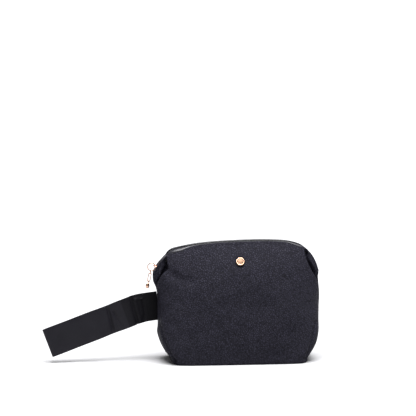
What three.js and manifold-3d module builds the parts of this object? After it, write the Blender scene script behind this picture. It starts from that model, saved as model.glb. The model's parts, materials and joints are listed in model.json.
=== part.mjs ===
// Soft pebbled makeup bag with a boxed base, a zip that runs over the top and down both
// ends, a puller chain, a domed stud and a folded wrist strap. Millimetres, +Z up.
// Origin: centre of the underside of the base. +X is the zip's opening direction,
// -Y is the front, where the stud is.

import * as THREE from "three";
import { mergeVertices } from "three/addons/utils/BufferGeometryUtils.js";
import Module from "manifold-3d";

const wasm = await Module();
wasm.setup();

// ---- Driving dimensions -------------------------------------------------------------
const GAP = 0.3; // clearance between neighbouring pieces
const LEATHER = 1.3; // coated leather with its backing
const LINING = 0.5;
const TAPE = 0.5;

// Plan section at a height: a superellipse, boxy at the base and rounder above.
const BASE_HALF_WIDTH = 71;
const SIDE_HALF_WIDTH = 84.3;
const SIDE_RISE = 34; // height over which the ends swell out from the base
const BASE_HALF_DEPTH = 35;
const FOLD_Z = 86; // the walls fold in above this height
const BASE_SQUARENESS = 7;
const FOLD_SQUARENESS = 2.6;

// Top edge of the leather, in the X-Z plane, from the left zip end over the ridge.
const EDGE_POINTS = [
  [-89.2, 88], [-88.2, 94], [-84.2, 102], [-77.5, 109.3], [-70.5, 116.8], [-58, 120.4],
  [-30, 124], [5, 125.6], [35, 125.6], [56, 123.8], [67.5, 119.8], [76, 112.8],
  [81.4, 104], [84.3, 94], [84, 88],
];
const CORNER = 0.168; // share of the edge's length that hangs down at each end
const EDGE_Y = 6.5; // half the width left open between the turned leather edges
const EDGE_CLOSE = 0.03; // share of the length over which the edges close at the ends
const UPPER_CROWN = 4; // outward swell of the walls above the fold
const CROWN_SLANT = 0.7; // share of the swell that goes outwards, and again upwards

// Zip: the chain stands a little proud of the leather on the ridge and sits low at the ends.
const CHAIN_PROUD = 0.4;
const CHAIN_LOW = 2.6;
const CHAIN_THICK = 1.7;
const CHAIN_HALF = 2.6;
const TAPE_DEPTH = CHAIN_THICK + GAP; // tape's top below the chain's top
const TAPE_INNER_Y = 1.3;
const TAPE_OUTER_Y = 4.9;
const TAPE_TIP_Y = 2.7; // the tape narrows at the zip's ends
const TAIL_END = 0.018; // share of the edge's length where the tape stops
const TOOTH_PITCH = 4.2;
const TOOTH_TIP_Y = 0.9;
const TOOTH_ROOT_Y = -1.25;

// Slider, in its own frame: +X to its nose, +Z away from the bag.
const SLIDER_AT = 0.056; // share of the edge's length where the slider rests, zip shut
const SLIDER_LENGTH = 9;
const SLIDER_HALF_W = 4;
const PLATE = 1.2;
const PLATE_LIFT = 0.4; // top plate above the chain
const BRIDGE_BAR_Z = 5;
const WIRE = 0.45; // radius of the puller ring's wire
const RING_RADIUS = 4.05;
const RING_OFF_PLATE = 0.25;

// Puller chain, hung from the ring: a jump link, a long link and a drop.
const CHAIN_LEAN = THREE.MathUtils.degToRad(12); // lean of the hanging chain, outward
const LINK_RADIUS = 2.3;
const LINK_WIRE = 0.35;
const LONG_LINK_HALF = 4.5;
const LONG_LINK_RADIUS = 1.25;
const LONG_LINK_WIRE = 0.45;
const DROP_LOOP = 1.2;
const DROP_HALF = 3;
const DROP_RADIUS = 2;
const LINK_PLAY = 0.25;

// Stud on the front, above the fold.
const STUD_AT = [0.5, 1.45]; // share across the panel, level on the panel
const STUD_RADIUS = 4.5;
const STUD_SHANK = 1.2;

// Strap: one band folded double, its two ends in the left side seam.
const STRAP_WIDTH = 30;
const STRAP_PLY = 1;
const STRAP_HALF_GAP = 2.4;
const STRAP_ROOT = new THREE.Vector2(-84.3, 58.5);
const STRAP_BEND = new THREE.Vector2(-103, 56.2);
const STRAP_SLOPE = THREE.MathUtils.degToRad(20.4);
const STRAP_OUTER_LENGTH = 102.5; // from the bend to the folded end
const STRAP_HINGE_X = -90;
const STRAP_FOLD_AT = 34; // from the bend to the strap's own crease
const STRAP_ROOT_THICK = 2;
const STRAP_PINCHED = 0.35; // half the gap between the plies at the root and the crease
const STRAP_OPENING = 15; // length over which the plies part from there
const STRAP_CLEAR = 1.6; // free length on each side of a place where the strap turns

// ---- Shape of the shell ---------------------------------------------------------------
function halfWidth(z) {
  const rest = Math.max(0, 1 - z / SIDE_RISE);
  return SIDE_HALF_WIDTH - (SIDE_HALF_WIDTH - BASE_HALF_WIDTH) * rest ** 2.2;
}

function halfDepth(z) {
  return BASE_HALF_DEPTH + 0.13 * z - 0.0017 * z * z; // widest about 40 mm up
}

function squareness(z) {
  const rest = Math.max(0, 1 - z / FOLD_Z);
  return FOLD_SQUARENESS + (BASE_SQUARENESS - FOLD_SQUARENESS) * rest ** 2.5;
}

// Front half of the plan section at a height, from the left seam round to the right one.
const sections = new Map();
function sectionCurve(z) {
  if (!sections.has(z)) {
    const points = [];
    const power = 2 / squareness(z);
    const steps = 96;
    for (let i = 0; i <= steps; i += 1) {
      const angle = Math.PI * (1 - i / steps);
      const c = Math.cos(angle);
      const x = halfWidth(z) * Math.sign(c) * Math.abs(c) ** power;
      const y = -halfDepth(z) * Math.abs(Math.sin(angle)) ** power;
      points.push(new THREE.Vector3(x, Math.min(y, 0), z));
    }
    sections.set(z, polylineByLength(points));
  }
  return sections.get(z);
}

function polylineByLength(points) {
  const along = [0];
  for (let i = 1; i < points.length; i += 1) {
    along.push(along[i - 1] + points[i].distanceTo(points[i - 1]));
  }
  const total = along[along.length - 1];
  return (share) => {
    const target = THREE.MathUtils.clamp(share, 0, 1) * total;
    let i = 1;
    while (i < points.length - 1 && along[i] < target) i += 1;
    const t = (target - along[i - 1]) / (along[i] - along[i - 1]);
    return points[i - 1].clone().lerp(points[i], t);
  };
}

const edgeCurve = new THREE.CatmullRomCurve3(
  EDGE_POINTS.map(([x, z]) => new THREE.Vector3(x, 0, z)), false, "centripetal",
);
edgeCurve.arcLengthDivisions = 800;
const EDGE_LENGTH = edgeCurve.getLength();

function smoothstep(low, high, value) {
  return THREE.MathUtils.smoothstep(value, low, high);
}

// How far along the hanging ends a place is: 1 on the tails, 0 on the ridge.
function tailness(share) {
  return 1 - smoothstep(CORNER * 0.75, CORNER * 1.15, Math.min(share, 1 - share));
}

function edgePoint(share) {
  const p = edgeCurve.getPointAt(THREE.MathUtils.clamp(share, 0, 1));
  p.y = -(GAP + (EDGE_Y - GAP) * smoothstep(0, EDGE_CLOSE, Math.min(share, 1 - share)));
  return p;
}

// Frame of the zip chain: its top centre, its direction and the way out of the bag.
function chainFrame(share) {
  const along = edgeCurve.getTangentAt(share);
  const out = new THREE.Vector3(-along.z, 0, along.x);
  const rise = THREE.MathUtils.lerp(CHAIN_PROUD, -CHAIN_LOW, tailness(share));
  const top = edgeCurve.getPointAt(share).addScaledVector(out, rise);
  return { top, along, out };
}

// Front surface: level 0 to 1 is the wall up to the fold, 1 to 2 the part above it.
function frontPoint(share, level) {
  if (level <= 1) {
    const p = sectionCurve(level * FOLD_Z)(share);
    p.y -= GAP / 2;
    return p;
  }
  const w = level - 1;
  const p = frontPoint(share, 1).lerp(edgePoint(share), w);
  const crown = UPPER_CROWN * 4 * w * (1 - w) * (1 - tailness(share));
  p.y -= crown * CROWN_SLANT;
  p.z += crown * CROWN_SLANT;
  return p;
}

// ---- Mesh makers ----------------------------------------------------------------------
function fromTriangles(positions, indices) {
  const geometry = new THREE.BufferGeometry();
  geometry.setAttribute("position", new THREE.Float32BufferAttribute(positions, 3));
  geometry.setIndex(indices);
  if (signedVolume(geometry) < 0) {
    for (let i = 0; i < indices.length; i += 3) {
      [indices[i + 1], indices[i + 2]] = [indices[i + 2], indices[i + 1]];
    }
    geometry.setIndex(indices);
  }
  geometry.computeVertexNormals();
  return geometry;
}

function signedVolume(geometry) {
  const p = geometry.getAttribute("position");
  const index = geometry.getIndex();
  const corner = [0, 1, 2].map(() => new THREE.Vector3());
  let sum = 0;
  for (let i = 0; i < index.count; i += 3) {
    corner.forEach((c, k) => c.fromBufferAttribute(p, index.getX(i + k)));
    sum += corner[0].dot(corner[1].clone().cross(corner[2]));
  }
  return sum / 6;
}

// A sheet of even thickness behind a surface, over the cells of a grid that keep allows.
// near and far are the depths of its two faces behind the surface. No point of it passes
// mostY, which keeps a front piece clear of its twin at the back.
function sheet(surface, us, vs, near, far, keep = () => true, mostY = -GAP / 2) {
  const positions = [];
  const step = 1e-3;
  for (const v of vs) {
    for (const u of us) {
      const p = surface(u, v);
      const du = surface(u + step, v).sub(surface(u - step, v));
      const dv = surface(u, v + step).sub(surface(u, v - step));
      const normal = du.cross(dv).normalize();
      for (const depth of [near, far]) {
        const at = p.clone().addScaledVector(normal, -depth);
        positions.push(at.x, Math.min(at.y, mostY), at.z);
      }
    }
  }
  const at = (i, j, side) => 2 * (j * us.length + i) + side;
  const kept = (i, j) => i >= 0 && j >= 0 && i < us.length - 1 && j < vs.length - 1
    && keep((us[i] + us[i + 1]) / 2, (vs[j] + vs[j + 1]) / 2);
  const indices = [];
  const quad = (a, b, c, d) => indices.push(a, b, c, a, c, d);
  for (let j = 0; j < vs.length - 1; j += 1) {
    for (let i = 0; i < us.length - 1; i += 1) {
      if (!kept(i, j)) continue;
      quad(at(i, j, 0), at(i + 1, j, 0), at(i + 1, j + 1, 0), at(i, j + 1, 0));
      quad(at(i, j, 1), at(i, j + 1, 1), at(i + 1, j + 1, 1), at(i + 1, j, 1));
      if (!kept(i, j - 1)) quad(at(i, j, 0), at(i, j, 1), at(i + 1, j, 1), at(i + 1, j, 0));
      if (!kept(i + 1, j)) {
        quad(at(i + 1, j, 0), at(i + 1, j, 1), at(i + 1, j + 1, 1), at(i + 1, j + 1, 0));
      }
      if (!kept(i, j + 1)) {
        quad(at(i + 1, j + 1, 0), at(i + 1, j + 1, 1), at(i, j + 1, 1), at(i, j + 1, 0));
      }
      if (!kept(i - 1, j)) quad(at(i, j + 1, 0), at(i, j + 1, 1), at(i, j, 1), at(i, j, 0));
    }
  }
  return mergeVertices(dropNormals(fromTriangles(positions, indices)), 1e-5);
}

function dropNormals(geometry) {
  geometry.deleteAttribute("normal");
  geometry.deleteAttribute("uv");
  return geometry;
}

// A bar through a list of rings of points, with flat ends.
function barThrough(rings) {
  const n = rings[0].length;
  const positions = rings.flat().flatMap((p) => p.toArray());
  const indices = [];
  for (let r = 0; r < rings.length - 1; r += 1) {
    for (let k = 0; k < n; k += 1) {
      const a = r * n + k;
      const b = r * n + ((k + 1) % n);
      indices.push(a, b, b + n, a, b + n, a + n);
    }
  }
  const last = (rings.length - 1) * n;
  for (let k = 1; k < n - 1; k += 1) {
    indices.push(0, k + 1, k, last, last + k, last + k + 1);
  }
  return fromTriangles(positions, indices);
}

// A closed wire loop in its own X-Z plane: a ring, or two half rings with straight sides.
function wireLoop(halfStraight, radius, wire, around = 24, sides = 8) {
  const positions = [];
  const indices = [];
  for (let i = 0; i < around; i += 1) {
    const angle = (2 * Math.PI * (i + 0.5)) / around;
    const [c, s] = [Math.cos(angle), Math.sin(angle)];
    for (let k = 0; k < sides; k += 1) {
      const turn = (2 * Math.PI * k) / sides;
      const reach = radius + wire * Math.cos(turn);
      positions.push(c * reach, wire * Math.sin(turn), s * reach + Math.sign(s) * halfStraight);
      const next = (i + 1) % around;
      const side = (k + 1) % sides;
      const [a, b] = [i * sides + k, next * sides + k];
      const [d, e] = [i * sides + side, next * sides + side];
      indices.push(a, b, e, a, e, d);
    }
  }
  return fromTriangles(positions, indices);
}

function toSolid(geometry) {
  const merged = mergeVertices(dropNormals(geometry.clone()), 1e-4);
  return new wasm.Manifold(new wasm.Mesh({
    numProp: 3,
    vertProperties: new Float32Array(merged.getAttribute("position").array),
    triVerts: new Uint32Array(merged.getIndex().array),
  }));
}

function fromSolid(solid) {
  const mesh = solid.getMesh();
  return fromTriangles(Array.from(mesh.vertProperties), Array.from(mesh.triVerts));
}

function joined(...geometries) {
  return fromSolid(geometries.map(toSolid).reduce((a, b) => a.add(b)));
}

function boxAt(low, high) {
  const size = high.map((v, i) => v - low[i]);
  const middle = high.map((v, i) => (v + low[i]) / 2);
  return new THREE.BoxGeometry(...size).translate(...middle);
}

function mirrored(geometry) {
  const positions = Array.from(geometry.getAttribute("position").array);
  for (let i = 1; i < positions.length; i += 3) positions[i] *= -1;
  return fromTriangles(positions, Array.from(geometry.getIndex().array));
}

function evenly(from, to, count) {
  return Array.from({ length: count + 1 }, (_, i) => from + ((to - from) * i) / count);
}

// ---- Materials --------------------------------------------------------------------------
function finish(color, roughness, metalness = 0) {
  return new THREE.MeshStandardMaterial({ color, roughness, metalness });
}
const leather = finish("#26252c", 0.55);
const lining = finish("#1d1c20", 0.85);
const board = finish("#6b665d", 0.9);
const tape = finish("#19191c", 0.9);
const coil = finish("#1b1b1f", 0.45);
const gold = finish("#d9a993", 0.22, 1);
const steel = finish("#9c9892", 0.35, 1);
const satin = finish("#1c1b1f", 0.6);

const bag = new THREE.Group();
function add(name, geometry, material, parent = bag) {
  const mesh = new THREE.Mesh(geometry, material);
  mesh.name = name;
  parent.add(mesh);
  return mesh;
}

// ---- Base: leather panel, stiffening board and lining ------------------------------------
function baseSlab(inset, low, high) {
  const shape = new THREE.Shape();
  const corners = 28;
  const power = 2 / BASE_SQUARENESS;
  for (let i = 0; i < corners; i += 1) {
    const angle = (2 * Math.PI * (i + 0.5)) / corners;
    const [c, s] = [Math.cos(angle), Math.sin(angle)];
    const x = (BASE_HALF_WIDTH - inset) * Math.sign(c) * Math.abs(c) ** power;
    const y = (BASE_HALF_DEPTH - inset) * Math.sign(s) * Math.abs(s) ** power;
    if (i === 0) shape.moveTo(x, y);
    else shape.lineTo(x, y);
  }
  const slab = new THREE.ExtrudeGeometry(shape, { depth: high - low, bevelEnabled: false });
  return slab.translate(0, 0, low);
}
const BOARD_THICK = 1.4;
const BOARD_INSET = 3.2; // clear of the walls and of their linings
const BASE_LINING_INSET = 3.4;
const wallFoot = LEATHER + GAP;
const boardTop = wallFoot + BOARD_THICK;
add("base_panel", baseSlab(0, 0, LEATHER), leather);
add("base_board", baseSlab(BOARD_INSET, wallFoot, boardTop), board);
add("base_lining",
  baseSlab(BASE_LINING_INSET, boardTop + GAP, boardTop + GAP + LINING), lining);

// ---- Walls up to the fold, with the corners that rise to the zip's ends -------------------
const tailShares = evenly(0, CORNER, 7);
const wallShares = [
  ...tailShares, ...evenly(CORNER, 1 - CORNER, 18).slice(1, -1),
  ...tailShares.map((s) => 1 - s).reverse(),
];
const wallLevels = [
  wallFoot / FOLD_Z, 0.06, 0.12, 0.22, 0.36, 0.54, 0.76, 1, 1.2, 1.5, 1.8, 2,
];
const inCorner = (share) => share < CORNER || share > 1 - CORNER;
const frontPanel = sheet(frontPoint, wallShares, wallLevels, 0, LEATHER,
  (share, level) => level < 1 || inCorner(share));
add("front_panel", frontPanel, leather);
add("back_panel", mirrored(frontPanel), leather);

const liningFoot = (boardTop + 2 * GAP + LINING) / FOLD_Z;
const liningNear = LEATHER + 2 * GAP;
const LINING_END = 0.012; // share of the panel left free beside each seam
const LINING_TOP = 0.97; // level, just under the fold
const LINING_LOW = 0.1; // the lowest level shared with the leather's grid
const liningShares = [LINING_END, ...wallShares.slice(1, -1), 1 - LINING_END];
const liningLevels = [
  liningFoot, ...wallLevels.filter((v) => v > LINING_LOW && v < 1), LINING_TOP,
];
const frontLining = sheet(frontPoint, liningShares, liningLevels, liningNear, liningNear + LINING);
add("front_lining", frontLining, lining);
add("back_lining", mirrored(frontLining), lining);

// ---- Mouth: the parts of the panels above the fold, between the hanging ends --------------
const MOUTH_INSET = 0.003; // keeps the mouth clear of the corners and of the fold
const MOUTH_FOOT = 1.014;
const mouthShares = evenly(CORNER + MOUTH_INSET, 1 - CORNER - MOUTH_INSET, 20);
const mouthLevels = [MOUTH_FOOT, 1.22, STUD_AT[1], 1.7, 1.87, 2];
const mouthSheet = sheet(frontPoint, mouthShares, mouthLevels, 0, LEATHER);

const studPoint = frontPoint(...STUD_AT);
const beside = (share, level) => frontPoint(STUD_AT[0] + share, STUD_AT[1] + level);
const NEARBY = 0.01;
const studNormal = beside(NEARBY, 0).sub(beside(-NEARBY, 0))
  .cross(beside(0, NEARBY).sub(beside(0, -NEARBY))).normalize();
const studTurn = new THREE.Quaternion().setFromUnitVectors(new THREE.Vector3(0, 1, 0), studNormal);
function studHole(radius) {
  return new THREE.CylinderGeometry(radius, radius, 8, 20).applyQuaternion(studTurn)
    .translate(...studPoint.toArray());
}
const frontMouth = fromSolid(toSolid(mouthSheet).subtract(toSolid(studHole(STUD_SHANK + GAP))));
add("front_mouth_panel", frontMouth, leather);
add("back_mouth_panel", mirrored(mouthSheet), leather);

const WASHER_THICK = 0.8;
const mouthLiningNear = LEATHER + WASHER_THICK + 3 * GAP;
const MOUTH_LINING_RISE = 0.03; // keeps the lining's foot off the fold
const mouthLiningLevels = [MOUTH_FOOT + MOUTH_LINING_RISE, ...mouthLevels.slice(1, 4)];
const mouthLining = sheet(frontPoint, mouthShares.slice(1, -1), mouthLiningLevels,
  mouthLiningNear, mouthLiningNear + LINING);
add("front_mouth_lining", mouthLining, lining);
add("back_mouth_lining", mirrored(mouthLining), lining);

// Zip tape of the mouth: flat beside the chain, then down behind the leather.
const TAPE_REACH = 0.24; // levels that it runs down behind the leather
const BEHIND_SLANT = 0.75; // share of the clearance taken inwards, and again downwards
function mouthTapePoint(share, across) {
  const { top, out } = chainFrame(share);
  const flatEnd = top.clone().addScaledVector(out, -TAPE_DEPTH);
  flatEnd.y = -TAPE_INNER_Y;
  if (across <= 0) return flatEnd;
  const behind = frontPoint(share, 2 - TAPE_REACH * Math.max(0, across - 1));
  behind.y += (LEATHER + 2 * GAP) * BEHIND_SLANT;
  behind.addScaledVector(out, -(LEATHER + 2 * GAP) * BEHIND_SLANT);
  return across < 1 ? flatEnd.lerp(behind, across) : behind;
}
const mouthTape = sheet((u, v) => mouthTapePoint(u, 2 - v), mouthShares, [0, 0.5, 1, 2], 0, TAPE);
add("front_zip_tape", mouthTape, tape);
add("back_zip_tape", mirrored(mouthTape), tape);

// Teeth of one half: a strip along the tape's edge with a tooth at every pitch.
function chainCorner(share, y, depth) {
  const { top, out } = chainFrame(share);
  const p = top.addScaledVector(out, -depth);
  p.y = y;
  return p;
}
function chainSection(share, outerY, innerY) {
  return [
    chainCorner(share, outerY, 0), chainCorner(share, innerY, 0),
    chainCorner(share, innerY, CHAIN_THICK), chainCorner(share, outerY, CHAIN_THICK),
  ];
}
function teethRow(shift) {
  const start = (CORNER + MOUTH_INSET) * EDGE_LENGTH;
  const end = (1 - CORNER - MOUTH_INSET) * EDGE_LENGTH;
  const toothLength = TOOTH_PITCH / 2 - GAP;
  const ramp = 0.05;
  const rings = [];
  const station = (at, y) => rings.push(chainSection(at / EDGE_LENGTH, -CHAIN_HALF, y));
  station(start, TOOTH_ROOT_Y);
  for (let at = start + 0.4 + shift; at + toothLength + 0.4 < end; at += TOOTH_PITCH) {
    station(at, TOOTH_ROOT_Y);
    station(at + ramp, TOOTH_TIP_Y);
    station(at + toothLength - ramp, TOOTH_TIP_Y);
    station(at + toothLength, TOOTH_ROOT_Y);
  }
  station(end, TOOTH_ROOT_Y);
  return barThrough(rings);
}
add("front_zip_teeth", teethRow(0), coil);
add("back_zip_teeth", mirrored(teethRow(TOOTH_PITCH / 2)), coil);

// ---- Hanging ends of the zip ---------------------------------------------------------------
const sliderFrame = chainFrame(SLIDER_AT);
const halfSlider = SLIDER_LENGTH / 2 / EDGE_LENGTH;
const STOP_LENGTH = 2 / EDGE_LENGTH;
const STOP_GAP = 1 / EDGE_LENGTH;

// Two tape edges side by side, sewn together over the last JOINED_TIP of their length.
const JOINED_TIP = 3.2;
function tailTape(from, to, tip) {
  const span = evenly(from, to, 12);
  const across = [-TAPE_OUTER_Y, -TAPE_INNER_Y, TAPE_INNER_Y, TAPE_OUTER_Y];
  const surface = (share, y) => {
    const p = chainCorner(share, 0, TAPE_DEPTH);
    const wide = smoothstep(TAIL_END, 2 * EDGE_CLOSE, Math.min(share, 1 - share));
    const outer = THREE.MathUtils.lerp(TAPE_TIP_Y, TAPE_OUTER_Y, wide);
    p.y = Math.abs(y) > TAPE_INNER_Y ? Math.sign(y) * outer : y;
    return p;
  };
  const joinedTip = JOINED_TIP / EDGE_LENGTH;
  return sheet(surface, span, across, 0, TAPE,
    (share, y) => Math.abs(y) > TAPE_INNER_Y || Math.abs(share - tip) < joinedTip,
    Infinity);
}
add("left_zip_tail_tape", tailTape(TAIL_END, CORNER - MOUTH_INSET, TAIL_END), tape);
add("right_zip_tail_tape", tailTape(1 - CORNER + MOUTH_INSET, 1 - TAIL_END, 1 - TAIL_END), tape);

// Closed teeth of the hanging ends, both rows meshed.
function tailTeeth(from, to) {
  return barThrough(evenly(from, to, 9).map((s) => chainSection(s, -CHAIN_HALF, CHAIN_HALF)));
}
const postShare = SLIDER_AT - halfSlider * 0.55;
const bottomStop = 1 - SLIDER_AT + halfSlider + STOP_LENGTH;
add("left_zip_tail_teeth", tailTeeth(postShare, CORNER - MOUTH_INSET), coil);
add("right_zip_tail_teeth", tailTeeth(1 - CORNER + MOUTH_INSET, bottomStop), coil);

function zipStop(from) {
  const rings = [from, from + STOP_LENGTH].map((share) => [
    chainCorner(share, -CHAIN_HALF, -0.1), chainCorner(share, CHAIN_HALF, -0.1),
    chainCorner(share, CHAIN_HALF, CHAIN_THICK), chainCorner(share, -CHAIN_HALF, CHAIN_THICK),
  ]);
  return barThrough(rings);
}
const topStop = SLIDER_AT - halfSlider - STOP_GAP - STOP_LENGTH;
add("zip_top_stop", zipStop(topStop), steel);
add("zip_bottom_stop", zipStop(bottomStop + GAP / EDGE_LENGTH), steel);

// ---- Slider, with a bridge across it for the puller ring ------------------------------------
const toNose = sliderFrame.along.clone().negate();
const slider = new THREE.Group();
slider.position.copy(sliderFrame.top);
slider.setRotationFromMatrix(new THREE.Matrix4()
  .makeBasis(toNose, new THREE.Vector3(0, -1, 0), sliderFrame.out));
bag.add(slider);

const half = SLIDER_LENGTH / 2;
const plateTop = PLATE_LIFT + PLATE;
const lowTop = -(TAPE_DEPTH + TAPE + 0.5);
const NECK_X = 3.2; // the neck between the two plates starts here
const NECK_HALF_W = 0.9;
const FLANGE_INNER_Y = 3.1; // side flanges, from the top plate down beside the chain
const FLANGE_FOOT_Z = -1.2;
const BRIDGE_HALF = 3.2;
const BRIDGE_POST = 1; // width of each bridge post
const BRIDGE_POST_HALF_X = 0.9;
const BAR_HALF = 0.5;
const OVERLAP = 0.1; // how far joined lumps run into each other
const sliderBody = joined(
  boxAt([-half, -SLIDER_HALF_W, PLATE_LIFT], [half, SLIDER_HALF_W, plateTop]),
  boxAt([-half, -SLIDER_HALF_W, lowTop - PLATE], [half, SLIDER_HALF_W, lowTop]),
  boxAt([NECK_X, -NECK_HALF_W, lowTop - OVERLAP], [half, NECK_HALF_W, PLATE_LIFT + OVERLAP]),
  ...[-1, 1].map((side) => boxAt(
    [-half, side > 0 ? FLANGE_INNER_Y : -SLIDER_HALF_W, FLANGE_FOOT_Z],
    [half, side > 0 ? SLIDER_HALF_W : -FLANGE_INNER_Y, PLATE_LIFT + OVERLAP],
  )),
  ...[-1, 1].map((side) => boxAt(
    [-BRIDGE_POST_HALF_X, side > 0 ? BRIDGE_HALF - BRIDGE_POST : -BRIDGE_HALF,
      plateTop - OVERLAP],
    [BRIDGE_POST_HALF_X, side > 0 ? BRIDGE_HALF : BRIDGE_POST - BRIDGE_HALF, BRIDGE_BAR_Z],
  )),
  boxAt([-BAR_HALF, -BRIDGE_HALF, BRIDGE_BAR_Z - BAR_HALF],
    [BAR_HALF, BRIDGE_HALF, BRIDGE_BAR_Z + BAR_HALF]),
);
add("zip_slider", sliderBody, gold, slider);

// ---- Puller: ring on the bridge, jump link, long link and drop ------------------------------
const barAt = sliderFrame.top.clone().addScaledVector(sliderFrame.out, BRIDGE_BAR_Z);
const ringOut = plateTop + RING_OFF_PLATE + RING_RADIUS + WIRE - BRIDGE_BAR_Z;
const BAR_CORNER = BAR_HALF * 1.42; // from the bar's middle to its corners
const ringReach = RING_RADIUS - WIRE - BAR_CORNER - LINK_PLAY;
const ringDown = Math.sqrt(ringReach ** 2 - ringOut ** 2);
const ringAt = barAt.clone().addScaledVector(sliderFrame.out, ringOut)
  .addScaledVector(toNose, ringDown);
add("pull_ring", wireLoop(0, RING_RADIUS, WIRE, 28), gold).position.copy(ringAt);

const down = new THREE.Vector3(-Math.sin(CHAIN_LEAN), 0, -Math.cos(CHAIN_LEAN));
const hang = (distance) => ringAt.clone().addScaledVector(down, distance);
const linkTop = RING_RADIUS - WIRE - LINK_WIRE - LINK_PLAY;
const linkAt = linkTop + LINK_RADIUS;
const longTop = linkAt + LINK_RADIUS - LINK_WIRE - LONG_LINK_WIRE - LINK_PLAY;
const longAt = longTop + LONG_LINK_HALF;
const loopTop = longAt + LONG_LINK_HALF - LONG_LINK_WIRE - LINK_WIRE - LINK_PLAY;
const loopAt = loopTop + DROP_LOOP;
const dropAt = loopAt + DROP_LOOP + DROP_HALF - LINK_WIRE;

const link = add("pull_link", wireLoop(0, LINK_RADIUS, LINK_WIRE, 16, 6), gold);
link.position.copy(hang(linkAt));
link.rotation.set(0, CHAIN_LEAN, Math.PI / 2, "YZX");
const longLink = add("pull_long_link",
  wireLoop(LONG_LINK_HALF - LONG_LINK_RADIUS, LONG_LINK_RADIUS, LONG_LINK_WIRE, 20, 6), gold);
longLink.position.copy(hang(longAt));
longLink.rotation.y = CHAIN_LEAN;

const dropProfile = [];
const DROP_STEPS = 8;
const DROP_TAPER = 0.22; // how much wider than a plain oval it is low down
for (let i = 0; i <= DROP_STEPS; i += 1) {
  const angle = -Math.PI / 2 + (Math.PI * i) / DROP_STEPS;
  const wide = DROP_RADIUS * Math.cos(angle) * (1 - DROP_TAPER * Math.sin(angle));
  const pole = i === 0 || i === DROP_STEPS;
  dropProfile.push(new THREE.Vector2(pole ? 0 : wide, DROP_HALF * Math.sin(angle)));
}
const dropBody = new THREE.LatheGeometry(dropProfile, 14).rotateX(Math.PI / 2)
  .translate(0, 0, -(dropAt - loopAt));
const dropLoop = wireLoop(0, DROP_LOOP, LINK_WIRE, 14, 6).rotateZ(Math.PI / 2);
const drop = add("pull_drop", joined(dropBody, dropLoop), gold);
drop.position.copy(hang(loopAt));
drop.rotation.y = CHAIN_LEAN;

// ---- Stud: a domed cap with a shank through the leather, and its washer ----------------------
// Radius and height of the cap's outline: its shank, then its rim and its dished middle.
const capProfile = [
  [0, -LEATHER - WASHER_THICK - 2 * GAP], [STUD_SHANK, -LEATHER - WASHER_THICK - 2 * GAP],
  [STUD_SHANK, GAP], [STUD_RADIUS, GAP + 0.1], [STUD_RADIUS, 1], [STUD_RADIUS - 0.35, 1.5],
  [STUD_RADIUS - 0.9, 1.6], [STUD_RADIUS - 1.35, 1.25], [1.6, 1.3], [0, 1.4],
].map(([r, h]) => new THREE.Vector2(r, h));
const cap = add("stud_cap", new THREE.LatheGeometry(capProfile, 28), gold);
cap.position.copy(studPoint);
cap.quaternion.copy(studTurn);

const washerTop = -(LEATHER + GAP);
const WASHER_RADIUS = 3.2;
const WASHER_PLAY = 0.08;
const washerBore = STUD_SHANK + WASHER_PLAY;
const washerProfile = [
  [washerBore, washerTop - WASHER_THICK], [WASHER_RADIUS, washerTop - WASHER_THICK],
  [WASHER_RADIUS, washerTop], [washerBore, washerTop], [washerBore, washerTop - WASHER_THICK],
].map(([r, h]) => new THREE.Vector2(r, h));
const washer = add("stud_washer", new THREE.LatheGeometry(washerProfile, 20), steel);
washer.position.copy(studPoint);
washer.quaternion.copy(studTurn);

// ---- Wrist strap ------------------------------------------------------------------------------
const strapAlong = new THREE.Vector2(-Math.cos(STRAP_SLOPE), -Math.sin(STRAP_SLOPE));
const strapAcross = new THREE.Vector2(-Math.sin(STRAP_SLOPE), Math.cos(STRAP_SLOPE));
const halfStrap = STRAP_WIDTH / 2;

// A flat prism whose outline is given in X-Z, between two Y values.
function slabXZ(outline, lowY, highY) {
  const shape = new THREE.Shape(outline.map((p) => new THREE.Vector2(p.x, p.y)));
  const slab = new THREE.ExtrudeGeometry(shape, { depth: highY - lowY, bevelEnabled: false });
  return slab.rotateX(Math.PI / 2).translate(0, highY, 0);
}
const rootCentre = (x) => THREE.MathUtils.lerp(STRAP_ROOT.y, STRAP_BEND.y,
  (STRAP_ROOT.x - x) / (STRAP_ROOT.x - STRAP_BEND.x));
const foldCentre = STRAP_BEND.clone().addScaledVector(strapAlong, STRAP_FOLD_AT);
const rootOuterX = STRAP_HINGE_X + GAP;
const plyOuter = STRAP_HALF_GAP + STRAP_PLY;
const rootInnerX = -(SIDE_HALF_WIDTH + GAP + 0.1);
const edgePair = (centre, direction, reach) => [
  centre.clone().addScaledVector(direction, reach),
  centre.clone().addScaledVector(direction, -reach),
];
const upright = new THREE.Vector2(0, 1);
function band(stations) {
  return [...stations.map(([high]) => high), ...stations.map(([, low]) => low).reverse()];
}
const rootBand = band([rootInnerX, rootOuterX]
  .map((x) => edgePair(new THREE.Vector2(x, rootCentre(x)), upright, halfStrap)));
add("strap_root", slabXZ(rootBand, -STRAP_ROOT_THICK / 2, STRAP_ROOT_THICK / 2), satin);

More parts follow.
